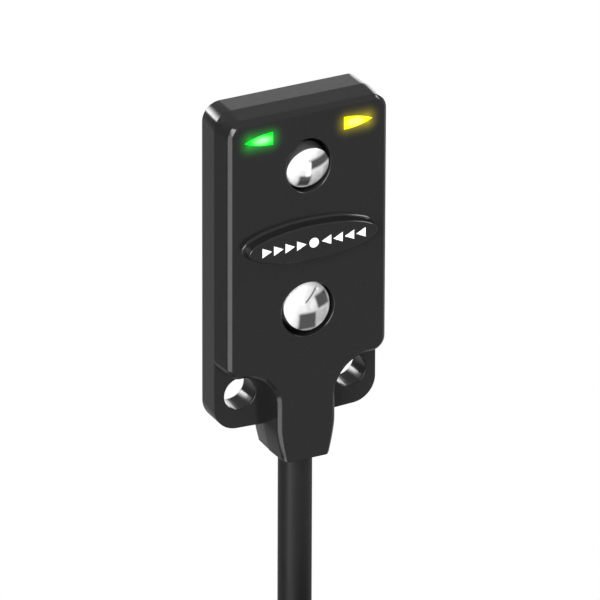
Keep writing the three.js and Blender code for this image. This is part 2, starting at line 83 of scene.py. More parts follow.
OPTICS_CENTRE = 11.88
LENS_SPACING = 10.9
LENS_HOLE_RADIUS = 2.0
LENS_RISE = 0.6
LENS_BACK = 2.8
LENS_TILT = math.radians(12)
UPPER_LENS = {"side": 1, "radius": 1.6, "rim_depth": 3.8, "shift": 0.22}
LOWER_LENS = {"side": -1, "radius": 1.75, "rim_depth": 3.7, "shift": 0.2}
HOLE_WIDTHS = {1: 0.84, -1: 1.0}
LENS_HOLE_EASE = 0.16
SCREW_HOLE_EASE = 0.09
WINDOW_GAP = 0.04
WINDOW_BACK = 2.2

WINDOW_Z = 19.95
WINDOW_INNER = 2.72
WINDOW_LENGTH = 2.15
WINDOW_HALF = 0.46

PAD_HALF_LENGTH = 5.05
PAD_HALF_HEIGHT = 1.4
PAD_RISE = 0.87
PAD_FILLET = 0.26
PAD_EDGE = 0.2

COVER_DEPTH = 0.5
COVER_GAP = 0.05
CAVITY_HALF = 5.4
CAVITY_BOTTOM = 2.7
CAVITY_TOP = 20.8
LEDGE = 0.3
CHANNEL_HALF = 1.6
CHANNEL_BOTTOM = -0.4
CHANNEL_FRONT = 3.4

CABLE = 2.4
CABLE_Y = -PLATE_DEPTH
JACKET_END = 1.2
CORE = 0.8
BORE_RADIUS = 1.25

COIL_CENTRE_Z = -39.9
COIL_LAYERS = 5
COIL_COLUMNS = 4
COIL_INNER_TURN = 9.6
COIL_BACK_COLUMN = -4.45
COIL_POINTS = 40
COIL_CROSSING = 120
COIL_FIRST_ANGLE = 33.7
COIL_LAST_ANGLE = 76
LEAD_STRAIGHT_END = -21.9
LEAD_BEND = 12
TAIL_RADIUS = 21.75
TAIL_END_Z = COIL_CENTRE_Z + 2

FREE_CORE_LENGTH = 32
CORE_SPACING = 0.55
STRAND_RADIUS = 0.085

TIE_WIDTH = 2.4
TIE_THICKNESS = 0.5
TIE_CLEARANCE = 0.15
TIE_CORNER = 0.7

FLOOR_Z = -90
DOME_RADIUS = 3000

ARC_STEPS = 10
ROUND_STEPS = 96
SHARP_ANGLE = math.radians(32)


# ---------------------------------------------------------------- outlines, as points in X and Z

def arc(middle, radius, start, end, steps=ARC_STEPS):
    """Points round an arc between two angles in degrees, both ends included."""
    angles = [math.radians(start + (end - start) * i / steps) for i in range(steps + 1)]
    return [(middle[0] + radius * math.cos(a), middle[1] + radius * math.sin(a)) for a in angles]


def bent(start, pull, end, steps=ARC_STEPS):
    """Points along a curve that leaves start towards pull and arrives at end from it."""
    shares = [i / steps for i in range(steps + 1)]
    return [
        tuple((1 - t) ** 2 * a + 2 * t * (1 - t) * b + t * t * c for a, b, c in zip(start, pull, end))
        for t in shares
    ]


def mirrored(right):
    """A closed outline from its right half, which is given from bottom to top."""
    whole = right + [(-x, z) for x, z in reversed(right)]
    apart = [p for i, p in enumerate(whole) if math.dist(p, whole[i - 1]) > 1e-4]
    return np.array(apart)


def drawn_in(outline, distance):
    """The closed outline moved inwards by a distance, corner by corner."""
    ahead = np.roll(outline, -1, 0) - outline
    ahead /= np.linalg.norm(ahead, axis=1)[:, None]
    after = np.stack([-ahead[:, 1], ahead[:, 0]], 1)
    before = np.roll(after, 1, 0)
    middle = (after + before) / (1 + (after * before).sum(1))[:, None]
    return outline + distance * middle


def neck_side(step, inset):
    """The neck's right side, set in by a step, from its tip up to where it becomes straight.

    The tip is lower and rounder by what an inset will take from it later.
    """
    radius = max(NECK_TIP_RADIUS, inset + 0.05)
    corner = NECK_TIP_HALF - step - radius
    bottom = NECK_BOTTOM - inset
    half = NECK_HALF - step
    tip = arc((corner, bottom + radius), radius, -90, 0)
    return tip + bent(tip[-1], (half - 0.04, NECK_TAPER_START - 0.9), (half, NECK_TAPER_START))


def top_corner(half, top):
    """The rounded corner where the right side at a half width meets the top."""
    return arc((half - TOP_RADIUS, top - TOP_RADIUS), TOP_RADIUS, 0, 90, 2 * ARC_STEPS)


def body_outline(inset):
    """The raised body at an inset: neck, hollow corners round the mounting holes, feet, sides and top.

    The neck's end stays where it is, and the top comes down a little less than the sides come in.
    """
    foot = (WIDTH / 2 - FOOT_RADIUS, POCKET_CENTRE[1] + POCKET_RADIUS + FOOT_RADIUS)
    right = neck_side(0, inset)
    right += arc(POCKET_CENTRE, POCKET_RADIUS, 180, 90, 2 * ARC_STEPS)
    right += arc(foot, FOOT_RADIUS, -90, 0)
    right += top_corner(WIDTH / 2, TOP + TOP_HELD * inset)
    return drawn_in(mirrored(right), inset)


def plate_outline():
    """The flat mounting plate with its two ears."""
    half = WIDTH / 2 - PARTING_STEP
    right = [(NECK_TIP_HALF, EAR_BOTTOM - EAR_RISE)]
    right += arc((half - EAR_RADIUS, EAR_BOTTOM + EAR_RADIUS), EAR_RADIUS, -90, 0, 2 * ARC_STEPS)
    right += top_corner(half, TOP - PARTING_STEP)
    return mirrored(right)


def neck_outline(inset):
    """The neck alone, closed off inside the plate, with its sides drawn in by an inset."""
    side = neck_side(PARTING_STEP, inset)
    return drawn_in(mirrored(side + [(NECK_HALF - PARTING_STEP, 0)]), inset)


def rounded_outline(half, bottom, top, radius):
    """A rectangle with rounded corners, as wide to the left as to the right."""
    right = arc((half - radius, bottom + radius), radius, -90, 0)
    right += arc((half - radius, top - radius), radius, 0, 90)
    return mirrored(right)


def cover_outline(grow):
    """The back cover: a rounded plate with a tongue over the cable channel."""
    half = CAVITY_HALF + LEDGE + grow
    bottom = CAVITY_BOTTOM - LEDGE - grow
    top = CAVITY_TOP + LEDGE + grow
    radius = 1.0
    right = [(CHANNEL_HALF + grow, CHANNEL_BOTTOM - grow), (CHANNEL_HALF + grow, bottom)]
    right += arc((half - radius, bottom + radius), radius, -90, 0)
    right += arc((half - radius, top - radius), radius, 0, 90)
    return mirrored(right)


def window_outline(side, grow):
    """A bullet lying along X, flat at its inner end and pointed at its outer end."""
    inner = WINDOW_INNER - grow
    tip = WINDOW_INNER + WINDOW_LENGTH + grow
    shoulder = WINDOW_INNER + WINDOW_LENGTH * 0.55
    half = WINDOW_HALF + grow
    lower = bent((inner, WINDOW_Z - half), (shoulder, WINDOW_Z - half), (tip, WINDOW_Z))
    upper = bent((tip, WINDOW_Z), (shoulder, WINDOW_Z + half), (inner, WINDOW_Z + half))
    right = np.array(lower + upper[1:])
    return right if side > 0 else np.flip(right * (-1, 1), 0)


def ellipse(half_length, half_height):
    """An ellipse lying along X, halfway between the lenses."""
    angles = [2 * math.pi * i / (2 * ROUND_STEPS) for i in range(2 * ROUND_STEPS)]
    points = [(half_length * math.cos(a), half_height * math.sin(a)) for a in angles]
    return np.array([(x, OPTICS_CENTRE + z) for x, z in points])


def circle(x, z, radius):
    return np.array(arc((x, z), radius, 0, 360, ROUND_STEPS)[:-1])


def eased(section, radius, steps=4):
    """A section's points with each inner corner turned into a curve that starts a radius away."""
    out = [section[0]]
    for before, corner, after in zip(section, section[1:], section[2:]):
        sides = [math.dist(before, corner), math.dist(after, corner)]
        reach = min(radius, 0.45 * min(sides))
        ends = [
            tuple(c + (o - c) * reach / side for c, o in zip(corner, other))
            for other, side in zip((before, after), sides)
        ]
        out += bent(ends[0], corner, ends[1], steps)
    return out + [section[-1]]


# ---------------------------------------------------------------- meshes

def mesh_object(name, mesh):
    made = bpy.data.objects.new(name, mesh)
    bpy.context.scene.collection.objects.link(made)
    return made


def finished(name, shape):
    """An object from a bmesh drawn in millimetres, with its faces pointing out."""
    bmesh.ops.remove_doubles(shape, verts=shape.verts, dist=1e-5)
    bmesh.ops.recalc_face_normals(shape, faces=shape.faces)
    mesh = bpy.data.meshes.new(name)
    shape.to_mesh(mesh)
    shape.free()
    mesh.transform(Matrix.Scale(MM, 4))
    return mesh_object(name, mesh)


def add_rings(shape, rings):
    """Close a stack of rings with equal counts of points into a solid."""
    made = [[shape.verts.new(p) for p in ring] for ring in rings]
    count = len(made[0])
    for low, high in zip(made, made[1:]):
        for i in range(count):
            j = (i + 1) % count
            shape.faces.new((low[i], low[j], high[j], high[i]))
    shape.faces.new(reversed(made[0]))
    shape.faces.new(made[-1])


def layered(name, outline_at, section):
    """A solid with an outline for each inset at each depth of its section."""
    shape = bmesh.new()
    add_rings(shape, [[(x, -depth, z) for x, z in outline_at(inset)] for inset, depth in section])
    return finished(name, shape)


def stacked(name, outline, section):
    """A solid whose outline is drawn in by an inset at each depth of its section."""
    return layered(name, lambda inset: drawn_in(outline, inset), section)


def turned(name, section):
    """A body turned about Y at the origin, from its [radius, depth] steps."""
    shape = bmesh.new()
    add_rings(shape, [[(x, -depth, z) for x, z in circle(0, 0, radius)] for radius, depth in section])
    return finished(name, shape)


def combined(name, first, operation, others):
    """One mesh from a boolean of the first object with each of the others in turn."""
    for other in others:
        modifier = first.modifiers.new("join", "BOOLEAN")
        modifier.operation = operation
        modifier.solver = "MANIFOLD"
        modifier.object = other
    mesh = bpy.data.meshes.new_from_object(first.evaluated_get(bpy.context.evaluated_depsgraph_get()))
    for used in [first, *others]:
        bpy.data.objects.remove(used)
    return mesh_object(name, mesh)


def shaded(made, angle=SHARP_ANGLE):
    """Smooth the rounded edges and keep flat faces flat and real corners crisp."""
    made.data.shade_smooth()
    made.data.set_sharp_from_angle(angle=angle)
    modifier = made.modifiers.new("flat faces", "WEIGHTED_NORMAL")
    modifier.keep_sharp = True
    modifier.weight = 100
    return made


def tube(name, points, radii, sides=16):
    """A closed round tube in millimetres along points, with a radius at each."""
    points = [Vector(p) for p in points]
    shape = bmesh.new()
    rings = []
    along = (points[1] - points[0]).normalized()
    across = along.orthogonal().normalized()
    for i, point in enumerate(points):
        ahead = points[min(i + 1, len(points) - 1)] - points[max(i - 1, 0)]
        along = ahead.normalized()
        across = (across - along * across.dot(along)).normalized()
        up = along.cross(across)
        turns = [2 * math.pi * k / sides for k in range(sides)]
        rings.append([point + radii[i] * (math.cos(a) * across + math.sin(a) * up) for a in turns])
    add_rings(shape, rings)
    made = finished(name, shape)
    made.data.shade_smooth()
    made.data.set_sharp_from_angle(angle=math.radians(50))
    return made


def smooth_route(points, steps):
    """Points along a smooth curve through the given ones, with some steps between each two."""
    points = [Vector(p) for p in points]
    ends = [2 * points[0] - points[1], *points, 2 * points[-1] - points[-2]]
    out = []
    for before, start, end, after in zip(ends, ends[1:], ends[2:], ends[3:]):
        for i in range(steps):
            t = i / steps
            out.append(0.5 * (
                2 * start + (end - before) * t + (2 * before - 5 * start + 4 * end - after) * t ** 2
                + (3 * start - before - 3 * end + after) * t ** 3
            ))
    return out + [points[-1]]


def box(name, middle, size, bevel=0.0, segments=1):
    """A box in millimetres, with bevelled edges if a bevel is given."""
    shape = bmesh.new()
    place = Matrix.Translation(middle) @ Matrix.Diagonal((*size, 1.0))
    bmesh.ops.create_cube(shape, size=1.0, matrix=place)
    if bevel:
        bmesh.ops.bevel(shape, geom=shape.edges[:], offset=bevel, segments=segments, affect="EDGES")
    return finished(name, shape)


def painted(made, *materials):
    """An object with these materials in its slots and no others."""
    made.data.materials.clear()
    for material in materials:
        made.data.materials.append(material)
    return made


def piece(made, slot, *nodes):
    """Let a piece ride on the sensor's one body and hide the CAD nodes it stands for. The slot, its
    finish, is not used.
    """
    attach(made, "root")
    if nodes:
        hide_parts(*nodes)
    return made


# ---------------------------------------------------------------- materials

class Nodes:
    """A node tree, with short ways to add nodes to it."""

    def __init__(self, tree):
        self.tree = tree

    def feed(self, socket, value):
        if isinstance(value, bpy.types.NodeSocket):
            self.tree.links.new(value, socket)
        else:
            socket.default_value = value

    def add(self, kind, inputs=None, **settings):
        node = self.tree.nodes.new(kind)
        for name, value in settings.items():
            setattr(node, name, value)
        for name, value in (inputs or {}).items():
            self.feed(node.inputs[name], value)
        return node

    def sum(self, operation, a, b=0.0, c=0.0):
        return self.add("ShaderNodeMath", {0: a, 1: b, 2: c}, operation=operation).outputs[0]

    def between(self, value, low, high, start=0.0, end=1.0, smooth=False):
        """A value spread from low..high to start..end."""
        inputs = {"Value": value, "From Min": low, "From Max": high, "To Min": start, "To Max": end}
        kind = "SMOOTHSTEP" if smooth else "LINEAR"
        return self.add("ShaderNodeMapRange", inputs, interpolation_type=kind).outputs["Result"]

    def away(self, value, middle):
        """How far a value is from its middle."""
        return self.sum("ABSOLUTE", self.sum("SUBTRACT", value, middle))

    def length(self, a, b):
        """The length of the line whose two parts are a and b."""
        squares = self.sum("ADD", self.sum("MULTIPLY", a, a), self.sum("MULTIPLY", b, b))
        return self.sum("SQRT", squares)


class Material(Nodes):
    """A principled material."""

    def __init__(self, name, **inputs):
        self.material = bpy.data.materials.new(name)
        self.material.use_nodes = True
        super().__init__(self.material.node_tree)
        self.shader = self.tree.nodes["Principled BSDF"]
        self.place = self.add("ShaderNodeTexCoord").outputs["Object"]
        self.set(**inputs)

    def set(self, **inputs):
        for name, value in inputs.items():
            self.feed(self.shader.inputs[name.replace("_", " ")], value)

    def noise(self, size, detail=2.0, place=None):
        """Soft noise whose features are about a size in millimetres."""
        inputs = {"Vector": place or self.place, "Scale": 1 / (size * MM), "Detail": detail}
        return self.add("ShaderNodeTexNoise", inputs).outputs["Fac"]

    def mixed(self, share, first, second):
        node = self.add("ShaderNodeMix", {0: share}, data_type="RGBA")
        self.feed(node.inputs[6], first)
        self.feed(node.inputs[7], second)
        return node.outputs[2]

    def raised(self, height, millimetres, strength=1.0):
        """Bump from a height of 0 to 1 that stands for so many millimetres."""
        inputs = {"Height": height, "Distance": millimetres * MM, "Strength": strength}
        return self.add("ShaderNodeBump", inputs).outputs["Normal"]


def grey(value):
    return (value, value, value, 1.0)


def moulded(name, dark, light, roughness, grain=0.05):
    """Moulded plastic: a faint mottle, a fine grain and a little spread of gloss."""
    made = Material(name)
    mottle = made.noise(1.5, 4.0)
    made.set(
        Base_Color=made.mixed(mottle, dark, light),
        Roughness=made.between(made.noise(0.4, 3.0), 0.3, 0.7, roughness - 0.03, roughness + 0.03),
        Normal=made.raised(made.noise(grain, 2.0), 0.0002),
    )
    return made


def painted_glow(material, side, colour):
    """A painted glow: emission painted into the black face round an indicator window, standing for its
    light spreading there.
    """
    split = material.add("ShaderNodeSeparateXYZ", {0: material.place})
    middle = side * (WINDOW_INNER + 0.45 * WINDOW_LENGTH) * MM
    half_length = 0.36 * WINDOW_LENGTH * MM
    half_height = 0.30 * WINDOW_HALF * MM
    reach = 1.35 * MM
    along = material.away(split.outputs[0], middle)
    across = material.away(split.outputs[2], WINDOW_Z * MM)
    along = material.sum("MAXIMUM", material.sum("SUBTRACT", along, half_length), 0.0)
    across = material.sum("MAXIMUM", material.sum("SUBTRACT", across, half_height), 0.0)
    near = material.between(material.length(along, across), 0.0, reach, 1.0, 0.0)
    front = material.between(split.outputs[1], -(DEPTH - 0.3) * MM, -(DEPTH - 0.05) * MM)
    strength = material.sum("MULTIPLY", material.sum("POWER", near, 3.4), front)
    return material.mixed(strength, grey(0.0), colour)


def housing_material():
    """Glossy black moulding, with a painted glow round the two indicator windows."""
    made = moulded("black_housing", grey(0.014), grey(0.017), 0.15)
    # Painted light: the face round each window glows by emission, as a painted glow of that indicator.
    green = painted_glow(made, -1, (0.0, 0.55, 0.03, 1.0))
    yellow = painted_glow(made, 1, (0.55, 0.46, 0.0, 1.0))
    both = made.add("ShaderNodeMix", {0: 1.0}, data_type="RGBA", blend_type="ADD")
    made.feed(both.inputs[6], green)
    made.feed(both.inputs[7], yellow)
    made.set(Emission_Color=both.outputs[2], Emission_Strength=1.0)
    return made.material


def window_material(name, side, edge, core):
    """A lit light pipe: brightest where the chip shines through its middle."""
    made = Material(name, Roughness=0.12, Base_Color=edge)
    split = made.add("ShaderNodeSeparateXYZ", {0: made.place})
    middle = side * (WINDOW_INNER + 0.38 * WINDOW_LENGTH) * MM
    along = made.sum("DIVIDE", made.sum("SUBTRACT", split.outputs[0], middle), 0.85 * MM)
    across = made.sum("DIVIDE", made.sum("SUBTRACT", split.outputs[2], WINDOW_Z * MM), 0.38 * MM)
    bright = made.between(made.length(along, across), 0.0, 1.2, 1.0, 0.0, smooth=True)
    ripple = made.between(made.noise(0.15), 0.3, 0.7, 0.92, 1.0)
    made.set(
        Emission_Color=made.mixed(made.sum("MULTIPLY", bright, ripple), edge, core),
        Emission_Strength=1.0,
    )
    return made.material


def slanted_patch(material, x, z, middle, halves, slant):
    """1 inside a soft-edged box in the plane of X and Z, and 0 outside it."""
    turn = math.radians(slant)
    off_x = material.sum("SUBTRACT", x, middle[0] * MM)
    off_z = material.sum("SUBTRACT", z, middle[1] * MM)
    axes = ((math.cos(turn), math.sin(turn)), (-math.sin(turn), math.cos(turn)))
    inside = 1.0
    for half, (share_x, share_z) in zip(halves, axes):
        part_x = material.sum("MULTIPLY", off_x, share_x)
        part_z = material.sum("MULTIPLY", off_z, share_z)
        far = material.sum("ABSOLUTE", material.sum("ADD", part_x, part_z))
        soft = min(0.28, half)
        edge = material.between(far, (half + soft / 2) * MM, (half - soft / 2) * MM, smooth=True)
        inside = material.sum("MULTIPLY", inside, edge)
    return inside


def lens_material(name, radius, patches):
    """A bright lens with painted light: a painted highlight at its upper left, and painted reflections
    and shade as patches.

    Each patch is its middle, its half sizes, its slant in degrees and how bright it is.
    """
    made = Material(name, Roughness=0.08, Coat_Weight=1.0, Coat_Roughness=0.02)
    x, y, z = made.add("ShaderNodeSeparateXYZ", {0: made.place}).outputs
    # Painted light: brighter towards the upper left, as if lit from there.
    lit = made.sum("SUBTRACT", made.sum("MULTIPLY", z, 0.6), made.sum("MULTIPLY", x, 0.8))
    shade = made.between(lit, 0.1 * radius * MM, 0.75 * radius * MM, 0.55, 0.85, smooth=True)
    cloud = made.between(made.noise(0.7, 1.0), 0.40, 0.60, 0.84, 1.0, smooth=True)
    shade = made.sum("MULTIPLY", shade, cloud)
    # Each patch is painted reflection where it is bright and painted shade where it is dark.
    for middle, halves, slant, bright in patches:
        inside = slanted_patch(made, x, z, middle, halves, slant)
        change = made.sum("MULTIPLY", inside, made.sum("SUBTRACT", bright, shade))
        shade = made.sum("ADD", shade, change)
    # Painted shade: the skirt behind the rim is painted almost black.
    dome = made.between(y, 0.12 * MM, 0.0, 0.06, 1.0, smooth=True)
    shade = made.sum("MULTIPLY", shade, dome)
    colour = made.add("ShaderNodeCombineColor", {0: shade, 1: shade, 2: shade}).outputs[0]
    # The lens glows a little by emission, though it is no lamp: painted light.
    made.set(Base_Color=colour, Emission_Color=colour, Emission_Strength=0.5)
    return made.material


def ink_material():
    """White printing ink, which glows a little by emission: painted light."""
    made = Material("white_ink", Roughness=0.4)
    white = made.mixed(made.noise(0.2), grey(0.80), grey(0.88))
    # The emission is painted light, as the ink is no lamp.
    made.set(Base_Color=white, Emission_Color=white, Emission_Strength=0.6)
    return made.material


def jacket_material():
    """Black cable jacket: matt, with a faint drawn texture."""
    made = Material("cable_jacket")
    fine = made.noise(0.12, 3.0)
    made.set(
        Base_Color=made.mixed(made.noise(6.0), grey(0.009), grey(0.013)),
        Roughness=made.between(made.noise(1.0), 0.3, 0.7, 0.42, 0.5),
        Normal=made.raised(fine, 0.004),
    )
    return made.material


def strand_material():
    """Tinned copper strands, a little copper showing through."""
    made = Material("tinned_copper", Metallic=1.0)
    worn = made.between(made.noise(0.35, 4.0), 0.58, 0.7)
    made.set(
        Base_Color=made.mixed(worn, (0.72, 0.71, 0.69, 1.0), (0.80, 0.42, 0.24, 1.0)),
        Roughness=made.between(made.noise(0.2), 0.3, 0.7, 0.22, 0.34),
    )
    return made.material


def steel_material():
    """Plated steel with fine turning marks."""
    made = Material("plated_steel", Metallic=1.0)
    split = made.add("ShaderNodeSeparateXYZ", {0: made.place})
    height = made.add("ShaderNodeCombineXYZ", {2: split.outputs[2]}).outputs[0]
    marks = made.noise(0.05, 2.0, height)
    made.set(
        Base_Color=made.mixed(marks, grey(0.50), grey(0.62)),
        Roughness=made.between(marks, 0.3, 0.7, 0.24, 0.38),
    )
    return made.material


def board_material():
    """Green solder mask over copper tracks, with fine glass cloth under it."""
    made = Material("circuit_board", Roughness=0.32)
    place = made.add("ShaderNodeMapping", {"Vector": made.place, "Rotation": (math.pi / 2, 0, 0)})
    tracks = made.add("ShaderNodeTexBrick", {
        "Vector": place.outputs[0], "Color1": grey(1.0), "Color2": grey(0.9), "Mortar": grey(0.0),
        "Scale": 1.0, "Mortar Size": 0.12 * MM, "Brick Width": 2.2 * MM, "Row Height": 0.9 * MM,
    }).outputs["Fac"]
    made.set(
        Base_Color=made.mixed(tracks, (0.010, 0.085, 0.028, 1.0), (0.030, 0.190, 0.060, 1.0)),
        Normal=made.raised(tracks, 0.02),
    )
    return made.material


def chip_material():
    """Black moulding compound with a sandy surface."""
    made = Material("chip_body")
    made.set(
        Base_Color=made.mixed(made.noise(0.1, 4.0), grey(0.018), grey(0.035)),
        Roughness=made.between(made.noise(0.3), 0.3, 0.7, 0.5, 0.62),
        Normal=made.raised(made.noise(0.03), 0.003),
    )
    return made.material


def ceramic_material():
    """A multilayer capacitor: tan ceramic between two tinned ends."""
    made = Material("ceramic")
    split = made.add("ShaderNodeSeparateXYZ", {0: made.place})
    ends = made.between(made.sum("PINGPONG", split.outputs[2], 1.0 * MM), 0.70 * MM, 0.72 * MM)
    body = made.mixed(made.noise(0.2), (0.42, 0.30, 0.17, 1.0), (0.52, 0.38, 0.22, 1.0))
    made.set(Base_Color=made.mixed(ends, body, grey(0.6)), Metallic=ends, Roughness=0.35)
    return made.material


def led_material():
    """A clear resin package over a pale substrate."""
    made = Material("led_body", Roughness=0.1, Coat_Weight=0.6)
    made.set(Base_Color=made.mixed(made.noise(0.25), (0.72, 0.66, 0.45, 1.0), (0.86, 0.84, 0.74, 1.0)))
    return made.material


def tie_material():
    """Black nylon, slightly mottled and satin."""
    return moulded("black_nylon", grey(0.012), grey(0.022), 0.34, 0.1).material


# ---------------------------------------------------------------- camera

def add_camera():
    """A long lens from the front left, looking down on the sensor's face."""
    azimuth = math.radians(-26.68)
    elevation = math.radians(25.82)
    roll = math.radians(0.195)
    distance = 0.763
    level = Vector((math.sin(azimuth), -math.cos(azimuth), 0))
    away = level * math.cos(elevation) + Vector((0, 0, math.sin(elevation)))
    target = Vector((-0.038, -2.720, 6.634)) * MM
    made = bpy.data.objects.new("camera", bpy.data.cameras.new("camera"))
    made.data.lens = 665
    made.data.sensor_width = 36
    made.data.clip_start = 0.01
    made.data.clip_end = 40
    made.data.dof.use_dof = False
    turn = away.to_track_quat("Z", "Y").to_matrix() @ Matrix.Rotation(roll, 3, "Z")
    made.matrix_world = Matrix.Translation(target + away * distance) @ turn.to_4x4()
    bpy.context.scene.collection.objects.link(made)
    bpy.context.scene.camera = made


# ---------------------------------------------------------------- the cable, its coil and its free end

def on_coil(radius, degrees, y):
    """A point on the coil's circle of a radius, at an angle from the top towards +X."""
    angle = math.radians(degrees)
    return (radius * math.sin(angle), y, COIL_CENTRE_Z + radius * math.cos(angle))


def coil_turns():
    """The radius and the Y of each turn: one behind the coil, then layer by layer, then the tail."""
    turns = [(COIL_INNER_TURN, CABLE_Y)]
    for layer in range(COIL_LAYERS):
        radius = COIL_INNER_TURN + layer * CABLE
        columns = range(COIL_COLUMNS) if layer % 2 == 0 else reversed(range(COIL_COLUMNS))
        turns += [(radius, COIL_BACK_COLUMN - column * CABLE) for column in columns]
    return turns + [(TAIL_RADIUS, turns[-1][1])]


def coil_route(first_angle, last_angle):
    """The wound cable. Each turn crosses to the next one's place on the way up to the top."""
    turns = coil_turns()
    bulge = 0.37 * CABLE
    step = 360 / COIL_POINTS
    points = []
    angle = first_angle
    end = 360 * (len(turns) - 1) + last_angle
    while angle < end:
        number = int(angle // 360)
        radius, y = turns[number]
        share = (angle - 360 * (number + 1)) / COIL_CROSSING + 1
        if share > 0:
            next_radius, next_y = turns[number + 1]
            eased_share = share * share * (3 - 2 * share)
            outwards = 0
            if next_y == y and number < len(turns) - 2:
                outwards = 1 if y == COIL_BACK_COLUMN else -1
            y += (next_y - y) * eased_share + outwards * bulge * math.sin(math.pi * eased_share)
            radius += (next_radius - radius) * eased_share
        points.append(on_coil(radius, angle, y))
        angle += step
    return points


def cable_route():
    """From the jacket's end inside the neck, down, round behind the coil, through it and off it."""
    heights = (JACKET_END, -2, NECK_BOTTOM, -9, -13, -17, -20, LEAD_STRAIGHT_END)
    down = [(0, CABLE_Y, z) for z in heights]
    swing = math.radians(90 - COIL_FIRST_ANGLE)
    bend = []
    for angle in (0.25 * swing, 0.5 * swing, 0.75 * swing):
        x = LEAD_BEND * (1 - math.cos(angle))
        bend.append((x, CABLE_Y, LEAD_STRAIGHT_END - LEAD_BEND * math.sin(angle)))
    coil = coil_route(COIL_FIRST_ANGLE, COIL_LAST_ANGLE)
    tail_y = coil_turns()[-1][1]
    end = [(TAIL_RADIUS, tail_y, TAIL_END_Z + 1), (TAIL_RADIUS, tail_y, TAIL_END_Z)]
    lead = smooth_route(down + bend + coil[:2], 4)[:-4]
    tail = smooth_route(coil[-2:] + end, 3)[3:]
    return lead + [Vector(p) for p in coil[1:-1]] + tail


def curve_object(name, points, radius, material):
    """A round cord as a curve of one open line through points in millimetres."""
    curve = bpy.data.curves.new(name, "CURVE")
    curve.dimensions = "3D"
    curve.bevel_depth = radius * MM
    curve.bevel_resolution = 6
    curve.use_fill_caps = True
    line = curve.splines.new("POLY")
    line.points.add(len(points) - 1)
    for at, point in zip(line.points, points):
        at.co = (*(Vector(point) * MM), 1.0)
    line.use_smooth = True
    curve.materials.append(material)
    return mesh_object(name, curve)


def strap_loop(name, inner, outer, back, front):
    """A flat band with eased edges round a box in Y and in the distance from the coil's middle."""
    half_width = TIE_WIDTH / 2
    ease = 0.1
    section = [(ease - half_width, 0), (-half_width, ease)]
    section += [(-half_width, TIE_THICKNESS - ease), (ease - half_width, TIE_THICKNESS)]
    section += [(-x, rise) for x, rise in reversed(section)]
    middle = ((inner + outer) / 2, (front + back) / 2)
    reach = ((outer - inner) / 2 - TIE_CORNER, (back - front) / 2 - TIE_CORNER)

    def outline(rise):
        points = []
        for quarter, (far, deep) in enumerate(((1, 1), (-1, 1), (-1, -1), (1, -1))):
            at = (middle[0] + far * reach[0], middle[1] + deep * reach[1])
            points += arc(at, TIE_CORNER + rise, 90 * quarter, 90 * quarter + 90, 6)
        return points

    shape = bmesh.new()
    lines = [[shape.verts.new((x, y, z)) for z, y in outline(rise)] for x, rise in section]
    count = len(lines[0])
    for a, b in zip(lines, lines[1:] + lines[:1]):
        for i in range(count):
            j = (i + 1) % count
            shape.faces.new((a[i], a[j], b[j], b[i]))
    return finished(name, shape)


def strap(name, degrees, coil_outer, material):
    """A cable tie round the coil's section at an angle from its top, with its head and cut end."""
    inner = COIL_INNER_TURN - CABLE / 2 - TIE_CLEARANCE
    outer = coil_outer + TIE_CLEARANCE
    back = CABLE_Y + CABLE / 2 + TIE_CLEARANCE
    front = COIL_BACK_COLUMN - (COIL_COLUMNS - 0.5) * CABLE - TIE_CLEARANCE
    middle = (inner + outer) / 2
    head_y = front - TIE_THICKNESS - 0.45
    slot_y = head_y - 0.3
    head_size = (3.4, 1.5, 3.2)
    slot_size = (2.5, 0.75, 4.0)
    end_size = (2.3, 0.45, 4.6)
    head = box("head", (0, head_y, middle), head_size, 0.3, 3)
    head = combined("head", head, "DIFFERENCE", [box("slot", (0, slot_y, middle), slot_size)])
    end = box("end", (0, slot_y, middle + 0.7), end_size, 0.1, 2)
    made = combined(name, strap_loop(name, inner, outer, back, front), "UNION", [head, end])
    turn = Matrix.Rotation(math.radians(degrees), 4, "Y")
    made.data.transform(Matrix.Translation((0, 0, COIL_CENTRE_Z * MM)) @ turn)
    return shaded(painted(made, material))


def core_route(spread_x, spread_y):
    """A conductor of the free end, from the jacket to its tip, bowing out as it falls."""
    tail_y = coil_turns()[-1][1]
    side = (spread_x > 0) - (spread_x < 0)
    start_x = TAIL_RADIUS + CORE_SPACING * side
    start_y = tail_y + (0.3 if side else -0.5)
    start_z = TAIL_END_Z - 0.3
    points = []
    for share in (0, 0.25, 0.5, 0.75, 1):
        bow = math.sin(math.pi / 2 * share) ** 2
        fall = FREE_CORE_LENGTH * share
        points.append((start_x + spread_x * bow, start_y + spread_y * bow, start_z - fall))
    return smooth_route(points, 10)


def strand_twist(route):
    """Six strands twisted round a seventh along a route."""
    twists = []
    for strand in range(7):
        far = 0 if strand == 6 else 2 * STRAND_RADIUS
        points = []
        for i, point in enumerate(route):
            angle = 2 * math.pi * strand / 6 + 0.55 * i
            points.append(point + Vector((far * math.cos(angle), far * math.sin(angle), 0)))
        twists.append(tube("strand", points, [STRAND_RADIUS] * len(points), 8))
    return twists


def free_core(colour, spread, insulation, strands):
    """Insulated for most of its length, then stripped to a twist of tinned strands."""
    route = core_route(*spread)
    stripped = int(len(route) * 0.82)
    under_strands = 0.06
    radii = [CORE / 2 if i <= stripped else under_strands for i in range(len(route))]
    made = painted(tube(f"free_core_{colour}", route, radii), insulation, strands)
    shape = bmesh.new()
    shape.from_mesh(made.data)
    for twist in strand_twist(route[stripped - 1:]):
        before = len(shape.faces)
        shape.from_mesh(twist.data)
        shape.faces.ensure_lookup_table()
        for face in shape.faces[before:]:
            face.material_index = 1
        bpy.data.objects.remove(twist)
    shape.to_mesh(made.data)
    shape.free()
    return made, [tuple(p * MM) for p in route]


